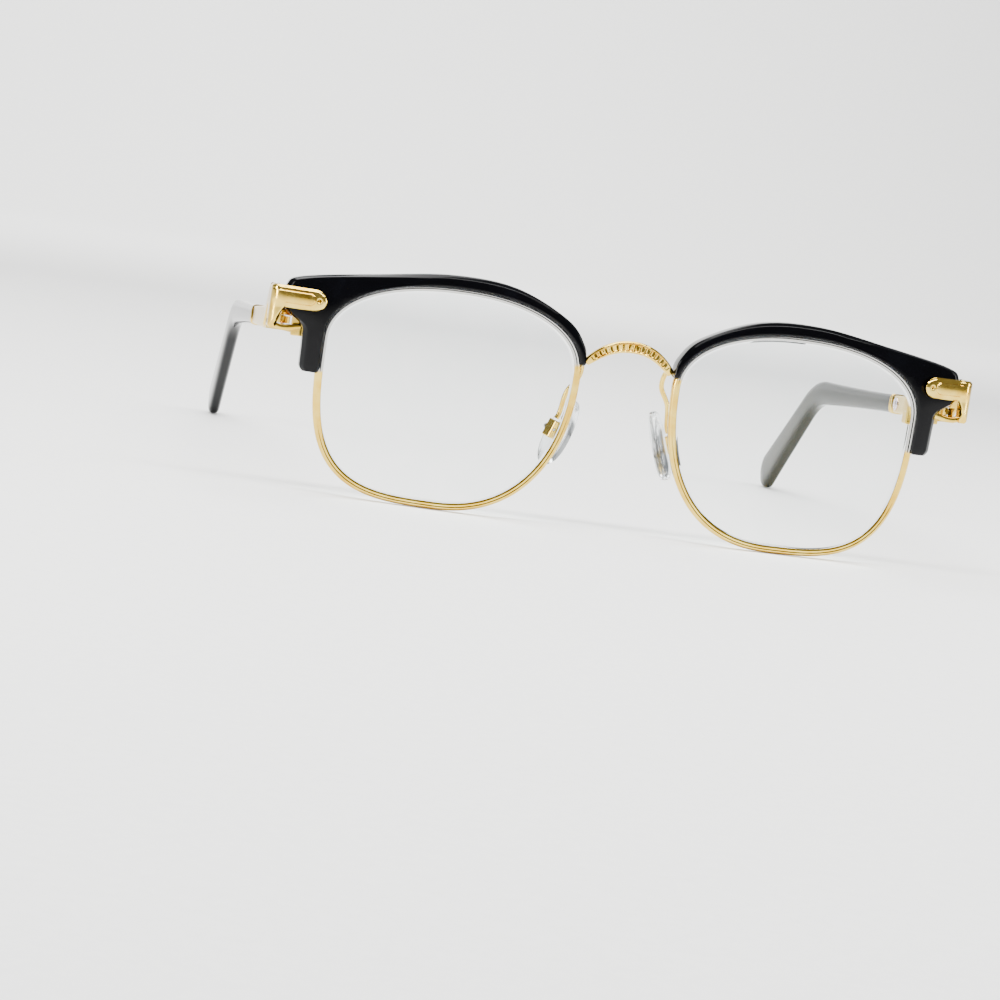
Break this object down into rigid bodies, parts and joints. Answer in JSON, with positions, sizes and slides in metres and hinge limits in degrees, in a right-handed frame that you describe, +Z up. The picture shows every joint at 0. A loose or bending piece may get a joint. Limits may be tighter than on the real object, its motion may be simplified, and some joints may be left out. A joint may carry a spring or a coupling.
{
  "type": "browline eyeglasses",
  "caption": "Browline eyeglasses: black brows over metal eyewires, clear lenses, arched bridge, soft nose pads, spring-hinged temples that fold.",
  "frame": {"origin": "middle of the footprint, on the surface that the glasses stand on, temples open", "axes": "+Y from the front towards the temple tips, +Z up, +X towards the wearer's left, which is the viewer's right from the front"},
  "size_m": [0.1422, 0.1558, 0.0463],
  "materials": {
    "gold_metal": "pale yellow gold plating on nickel alloy, polished",
    "black_acetate": "polished black cellulose acetate",
    "clear_lens": "clear lens with a faint blue-green coating",
    "clear_silicone": "clear soft silicone, satin",
    "steel_screws": "turned steel",
    "polished_stud": "polished plain stud"
  },
  "bodies": {
    "front": {"bridge": "gold_metal", "eyewire_right": "gold_metal", "lens_right": "clear_lens", "brow_right": "black_acetate", "brow_screw_nasal_right": "steel_screws", "brow_screw_temporal_right": "steel_screws", "shield_right": "gold_metal", "endpiece_right": "gold_metal", "closing_block_right": "gold_metal", "closing_screw_right": "steel_screws", "hinge_screw_right": "steel_screws", "pad_arm_right": "gold_metal", "pad_box_right": "gold_metal", "pad_screw_right": "steel_screws", "eyewire_left": "gold_metal", "lens_left": "clear_lens", "brow_left": "black_acetate", "brow_screw_nasal_left": "steel_screws", "brow_screw_temporal_left": "steel_screws", "shield_left": "gold_metal", "endpiece_left": "gold_metal", "closing_block_left": "gold_metal", "closing_screw_left": "steel_screws", "hinge_screw_left": "steel_screws", "pad_arm_left": "gold_metal", "pad_box_left": "gold_metal", "pad_screw_left": "steel_screws"},
    "pad_right": {"nose_pad_right": "clear_silicone"},
    "slider_right": {"hinge_tongue_right": "gold_metal", "spring_nut_right": "steel_screws"},
    "temple_right": {"temple_bar_right": "gold_metal", "hinge_spring_right": "steel_screws", "ferrule_right": "gold_metal", "stud_right": "polished_stud", "temple_core_right": "steel_screws", "temple_tip_right": "black_acetate"},
    "pad_left": {"nose_pad_left": "clear_silicone"},
    "slider_left": {"hinge_tongue_left": "gold_metal", "spring_nut_left": "steel_screws"},
    "temple_left": {"temple_bar_left": "gold_metal", "hinge_spring_left": "steel_screws", "ferrule_left": "gold_metal", "stud_left": "polished_stud", "temple_core_left": "steel_screws", "temple_tip_left": "black_acetate"}
  },
  "joints": [
    {"name": "temple_hinge_right", "type": "hinge", "parent": "front", "child": "slider_right", "pos_m": [-0.0675, -0.06238, 0.03243], "axis": [0, 0, 1], "range_deg": [-85, 8]},
    {"name": "spring_slide_right", "type": "slide", "parent": "slider_right", "child": "temple_right", "axis": [0, 0.9986, -0.0523], "range_m": [0, 0.0012], "stiffness_N_per_m": 1500, "deforming": ["hinge_spring_right"]},
    {"name": "pad_rock_right", "type": "hinge", "parent": "front", "child": "pad_right", "pos_m": [-0.01222, -0.06732, 0.01866], "axis": [-0.3627, 0.9225, 0.132], "range_deg": [-6, 6], "stiffness_Nm_per_rad": 0.01},
    {"name": "temple_hinge_left", "type": "hinge", "parent": "front", "child": "slider_left", "pos_m": [0.0675, -0.06238, 0.03243], "axis": [0, 0, -1], "range_deg": [-90, 8]},
    {"name": "spring_slide_left", "type": "slide", "parent": "slider_left", "child": "temple_left", "axis": [0, 0.9986, -0.0523], "range_m": [0, 0.0012], "stiffness_N_per_m": 1500, "deforming": ["hinge_spring_left"]},
    {"name": "pad_rock_left", "type": "hinge", "parent": "front", "child": "pad_left", "pos_m": [0.01222, -0.06732, 0.01866], "axis": [0.3627, 0.9225, 0.132], "range_deg": [-6, 6], "stiffness_Nm_per_rad": 0.01}
  ]
}
